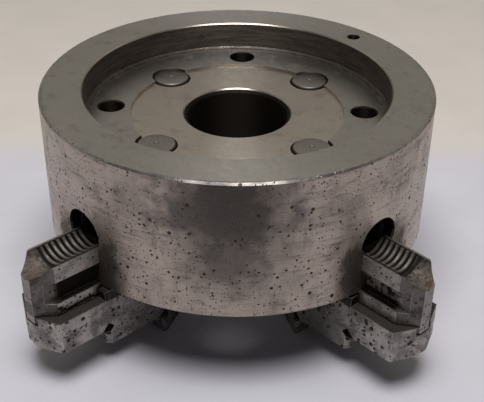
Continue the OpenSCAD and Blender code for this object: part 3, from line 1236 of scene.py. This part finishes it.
class CHUCK_OT_master_jaws(bpy.types.Operator):
    """Makes the four master jaws, with chips out of one lower rib"""

    bl_idname = "chuck.master_jaws"
    bl_label = "Master jaws"

    def execute(self, context):
        settings = context.scene.chuck_jaws
        for number in JAWS:
            bm = cad_bmesh(f"master_jaw_{number}", number)
            break_edges(bm, sharp_edges(bm), settings.edge_break)
            if number == CHIPPED_JAW:
                bm = cut(bm, self.chips(jaw_out(number), settings.chips))
            finishes = [
                master_finish(settings, f"jaw_steel_{number}", number),
                master_finish(settings, f"jaw_edge_steel_{number}", number, edge=True),
            ]
            obj = finish_mesh(bm, f"master_jaw_piece_{number}", finishes, number)
            stands_for(obj, f"master_jaw_{number}", f"jaw_{number}")
        return {"FINISHED"}

    def chips(self, out, count):
        """Rough lumps along the foot of the lower rib, to be cut away."""
        draw = random.Random(4)
        bm = bmesh.new()
        for index in range(count):
            back = FACET_LEN + 0.5 + CHIPPED_RUN * index / max(1, count - 1)
            rise = CHIP_END_RISE if index in (0, count - 1) else 0.0
            middle = Vector(
                (
                    out - back + draw.uniform(-0.8, 0.8),
                    RIB_HALF + draw.uniform(-0.1, 0.2),
                    SEAT_Z + CHIP_RISE + rise + draw.uniform(-0.5, 0.5),
                )
            )
            made = bmesh.ops.create_icosphere(bm, subdivisions=3, radius=1.0)
            size = Vector(
                (draw.uniform(1.8, 3.6), draw.uniform(0.5, 0.9), draw.uniform(1.0, 1.7))
            )
            for v in made["verts"]:
                rough = 1 + 0.35 * noise.noise(v.co * 1.7 + Vector((index * 9.0, 0, 0)))
                v.co = (middle + Vector([a * b for a, b in zip(v.co, size)]) * rough) * MM
        bmesh.ops.recalc_face_normals(bm, faces=bm.faces)
        return bm


class CHUCK_OT_half_nuts(bpy.types.Operator):
    """Makes the thread of the half nut in each master jaw"""

    bl_idname = "chuck.half_nuts"
    bl_label = "Half nuts"

    def execute(self, context):
        thread = context.scene.chuck_thread
        jaws = context.scene.chuck_jaws
        crest = SCREW_R - thread.depth / MM + 0.2
        root = SCREW_R + 0.25
        for number in JAWS:
            out = jaw_out(number)
            bm = self.ridges(out, crest, root, thread.columns // 2, thread.nut_plain / MM)
            finish = thread_finish(
                jaws.master_color,
                f"half_nut_steel_{number}",
                60.0 + number,
                crest,
                root,
                rust=lambda f, out=out: f.times(
                    f.rise(f.x, out - 17, out - 7),
                    f.rise(f.noise(4.5, 5.0, 0.65), 0.36, 0.6),
                ),
                rust_color=jaws.rust_color,
            )
            obj = finish_mesh(bm, f"half_nut_thread_{number}", [finish], number, 32)
            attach(obj, f"jaw_{number}")
        return {"FINISHED"}

    def ridges(self, out, crest, root, columns, plain):
        """A shell of thread ridges that lines the channel between its two lips."""
        start, end = out - MASTER_LEN + 0.15, out - plain
        rows = []
        for row in thread_rows(start, end, NUT_WIDTH, 0.5):
            line = []
            for column in range(columns + 1):
                share = column / columns * 2 - 1
                turn = -0.25 + share * 0.25
                x = min(max(row - PITCH * (turn - 0.5), start), end)
                height = thread_height(x / PITCH - 0.5 + turn - 0.5, NUT_WIDTH)
                height *= min(1.0, max(0.0, (end - x) / NUT_RUN_OUT))
                line.append((x, root - (root - crest) * height, share))
            rows.append(line)
        under = root + 0.45
        backing = [[(x, under, share) for x, _, share in line] for line in rows]
        return self.shell(rows, backing)

    def shell(self, inner, outer):
        """A closed shell between two grids of points: place, radius and share around."""
        bm = bmesh.new()
        upper, lower = (
            [[bm.verts.new(self.around(*point)) for point in line] for line in grid]
            for grid in (inner, outer)
        )
        last, columns = len(inner) - 1, len(inner[0]) - 1
        for a, b, under_a, under_b in zip(upper, upper[1:], lower, lower[1:]):
            for c in range(columns):
                bm.faces.new((a[c], b[c], b[c + 1], a[c + 1]))
                bm.faces.new((under_a[c], under_a[c + 1], under_b[c + 1], under_b[c]))
            for c in (0, columns):
                bm.faces.new((a[c], under_a[c], under_b[c], b[c]))
        for i in (0, last):
            for c in range(columns):
                bm.faces.new((upper[i][c], upper[i][c + 1], lower[i][c + 1], lower[i][c]))
        clean_up(bm)
        return bm

    def around(self, x, radius, share):
        """A point of the channel: share runs from one lip, -1, to the other, 1."""
        lip = math.asin((SCREW_Z - LIP_Z + 0.03) / radius)
        angle = -math.pi / 2 + share * (math.pi / 2 - lip)
        return Vector((x, radius * math.cos(angle), radius * math.sin(angle) + SCREW_Z)) * MM


class CHUCK_OT_top_jaws(bpy.types.Operator):
    """Makes the four stepped top jaws"""

    bl_idname = "chuck.top_jaws"
    bl_label = "Top jaws"

    def execute(self, context):
        settings = context.scene.chuck_jaws
        for number in JAWS:
            bm = cad_bmesh(f"top_jaw_{number}", number)
            break_edges(bm, sharp_edges(bm), settings.edge_break)
            finishes = [
                top_finish(settings, f"top_jaw_steel_{number}", number),
                top_finish(settings, f"top_jaw_edge_{number}", number, edge=True),
            ]
            obj = finish_mesh(bm, f"top_jaw_piece_{number}", finishes, number)
            stands_for(obj, f"top_jaw_{number}", f"jaw_{number}")
        return {"FINISHED"}


class CHUCK_OT_jaw_bolts(bpy.types.Operator):
    """Makes the cap screws that hold the top jaws"""

    bl_idname = "chuck.jaw_bolts"
    bl_label = "Jaw bolts"

    def execute(self, context):
        settings = context.scene.chuck_jaws
        finish = bolt_finish(settings, "bolt_black")
        for number in JAWS:
            bm = cad_bmesh(f"jaw_bolts_{number}", number)
            break_edges(bm, sharp_edges(bm, degrees=50), settings.edge_break)
            obj = finish_mesh(bm, f"jaw_bolts_piece_{number}", [finish, finish], number)
            stands_for(obj, f"jaw_bolts_{number}", f"jaw_{number}")
        return {"FINISHED"}


# ---- The stage, in metres and degrees ----

# Heading of the camera's line of sight, from +Y towards -X
HEADING = math.radians(47 - 0.169)
CAMERA_AT = (0.33460, -0.30946, 0.33251)
CAMERA_DOWN, CAMERA_ROLL = 34.91, 0.606
CAMERA_SHIFT = 0.1
SENSOR_WIDTH = 36
FLOOR_RADIUS = 6.0
LIGHT_AT, LIGHT_AIM, LIGHT_SIZE = (0.25, -0.22, 1.3), (0, 0, 0.05), 0.75
# The black card: half width, nearest and farthest edge, and height above the floor
CARD_HALF, CARD_NEAR, CARD_FAR, CARD_UP = 0.14, 0.21, 0.65, 0.0008
# Brightness of the room behind the camera as the camera itself sees it
ROOM_SEEN = 0.55


def ahead_of_camera(nodes, x, y):
    """How far a place or a direction lies along the camera's heading."""
    return nodes.total(
        nodes.times(x, -math.sin(HEADING)), nodes.times(y, math.cos(HEADING))
    )


def stage_mesh(name, bm, finish):
    """A mesh of the stage with its finish."""
    mesh = bpy.data.meshes.new(name)
    bm.to_mesh(mesh)
    bm.free()
    mesh.materials.append(finish.material)
    return new_object(name, mesh)


class CHUCK_OT_stage(bpy.types.Operator):
    """Makes the pale floor, the soft lights and the camera"""

    bl_idname = "chuck.stage"
    bl_label = "Stage"

    def execute(self, context):
        settings = context.scene.chuck_stage
        self.floor(settings)
        self.room(context.scene, settings)
        self.softbox(context.scene, settings)
        self.card()
        self.camera(context.scene, settings)
        context.scene.view_settings.view_transform = "Standard"
        return {"FINISHED"}

    def floor(self, settings):
        bm = bmesh.new()
        bmesh.ops.create_circle(bm, cap_ends=True, segments=96, radius=FLOOR_RADIUS)
        f = Finish("pale_floor")
        far = f.rise(ahead_of_camera(f, f.x, f.y), 110, 170)
        base = f.mix(far, settings.floor_color, settings.far_color)
        tone = f.rise(f.noise(60.0, 3.0, 0.5), 0.3, 0.7, 0.97, 1.02)
        base = f.mix(1.0, base, f.join(tone, tone, tone), "MULTIPLY")
        f.plug(f.shader.inputs["Base Color"], base)
        f.shader.inputs["Roughness"].default_value = 0.55
        f.shader.inputs["Specular IOR Level"].default_value = 0.3
        stage_mesh("floor", bm, f)

    def room(self, scene, settings):
        """Light from all around: a bright wall ahead, a dark room behind."""
        world = bpy.data.worlds.new("room")
        scene.world = world
        world.use_nodes = True
        n = Nodes(world.node_tree)
        x, y, height = n.split(n.node("TexCoord").outputs["Generated"])
        wall = n.rise(ahead_of_camera(n, x, y), -0.35, 0.55, 0.06, 1.0)
        climb = n.rise(height, 0.15, 0.62, 0.45, 1.3)
        seen = n.times(n.node("LightPath").outputs["Is Camera Ray"], ROOM_SEEN)
        strength = n.times(n.most(wall, seen), climb, settings.world_strength)
        light = n.node("Background")
        n.plug(light.inputs["Strength"], strength)
        n.plug(light.inputs["Color"], n.mix(wall, (0.86, 0.90, 1.0), (1.0, 0.93, 0.83)))
        n.plug(n.node("OutputWorld").inputs["Surface"], light.outputs[0])

    def softbox(self, scene, settings):
        """A round soft light above the chuck."""
        lamp = bpy.data.lights.new("overhead_light", "AREA")
        lamp.shape = "DISK"
        lamp.size = LIGHT_SIZE
        lamp.energy = settings.key_power
        lamp.color = (1.0, 0.98, 0.97)
        obj = bpy.data.objects.new("overhead_light", lamp)
        scene.collection.objects.link(obj)
        obj.location = LIGHT_AT
        way = Vector(LIGHT_AIM) - Vector(LIGHT_AT)
        obj.rotation_euler = way.to_track_quat("-Z", "Y").to_euler()

    def card(self):
        """A black card on the floor ahead, which only glossy reflections see."""
        bm = bmesh.new()
        for across, ahead in (
            (-CARD_HALF, CARD_NEAR),
            (CARD_HALF, CARD_NEAR),
            (CARD_HALF, CARD_FAR),
            (-CARD_HALF, CARD_FAR),
        ):
            bm.verts.new((across, -ahead, CARD_UP))
        bm.faces.new(bm.verts[:])
        f = Finish("black_card")
        f.shader.inputs["Base Color"].default_value = (0.01, 0.01, 0.012, 1)
        f.shader.inputs["Roughness"].default_value = 0.9
        card = stage_mesh("flag", bm, f)
        card.matrix_world = Matrix.Rotation(HEADING, 4, "Z")
        card.visible_camera = False
        card.visible_diffuse = False
        card.visible_shadow = False

    def camera(self, scene, settings):
        lens = bpy.data.cameras.new("camera")
        lens.lens = settings.lens
        lens.sensor_width = SENSOR_WIDTH
        lens.shift_y = CAMERA_SHIFT
        lens.clip_start, lens.clip_end = 0.01, 50
        obj = bpy.data.objects.new("camera", lens)
        scene.collection.objects.link(obj)
        obj.matrix_world = (
            Matrix.Translation(CAMERA_AT)
            @ Matrix.Rotation(HEADING, 4, "Z")
            @ Matrix.Rotation(math.radians(90 - CAMERA_DOWN), 4, "X")
            @ Matrix.Rotation(math.radians(CAMERA_ROLL), 4, "Z")
        )
        scene.camera = obj


class CHUCK_PT_panel(bpy.types.Panel):
    """The chuck's settings and the buttons that build it"""

    bl_idname = "CHUCK_PT_panel"
    bl_label = "Lathe chuck"
    bl_space_type = "VIEW_3D"
    bl_region_type = "UI"
    bl_category = "Chuck"

    def draw(self, context):
        groups = (
            ("Body", context.scene.chuck_body, BODY_STEPS),
            ("Threads", context.scene.chuck_thread, THREAD_STEPS),
            ("Jaws", context.scene.chuck_jaws, JAW_STEPS),
            ("Stage", context.scene.chuck_stage, (CHUCK_OT_stage,)),
        )
        for title, settings, operators in groups:
            column = self.layout.box().column()
            column.label(text=title)
            for name in settings.__annotations__:
                column.prop(settings, name)
            for operator in operators:
                column.operator(operator.bl_idname)


BODY_STEPS = (CHUCK_OT_body, CHUCK_OT_thrust_blocks)
THREAD_STEPS = (CHUCK_OT_screws, CHUCK_OT_half_nuts)
JAW_STEPS = (CHUCK_OT_master_jaws, CHUCK_OT_top_jaws, CHUCK_OT_jaw_bolts)
SETTINGS = {
    "chuck_body": ChuckBodySettings,
    "chuck_jaws": ChuckJawSettings,
    "chuck_thread": ChuckThreadSettings,
    "chuck_stage": ChuckStageSettings,
}
CLASSES = (
    *SETTINGS.values(),
    *BODY_STEPS,
    *THREAD_STEPS,
    *JAW_STEPS,
    CHUCK_OT_stage,
    CHUCK_PT_panel,
)


def register():
    for made in CLASSES:
        bpy.utils.register_class(made)
    for name, group in SETTINGS.items():
        setattr(bpy.types.Scene, name, bpy.props.PointerProperty(type=group))


def unregister():
    for name in SETTINGS:
        delattr(bpy.types.Scene, name)
    for made in reversed(CLASSES):
        bpy.utils.unregister_class(made)


def main():
    """Builds the chuck and its stage."""
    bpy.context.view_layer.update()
    register()
    bpy.ops.chuck.body()
    bpy.ops.chuck.thrust_blocks()
    bpy.ops.chuck.screws()
    bpy.ops.chuck.master_jaws()
    bpy.ops.chuck.half_nuts()
    bpy.ops.chuck.top_jaws()
    bpy.ops.chuck.jaw_bolts()
    bpy.ops.chuck.stage()


if __name__ == "__main__":
    main()
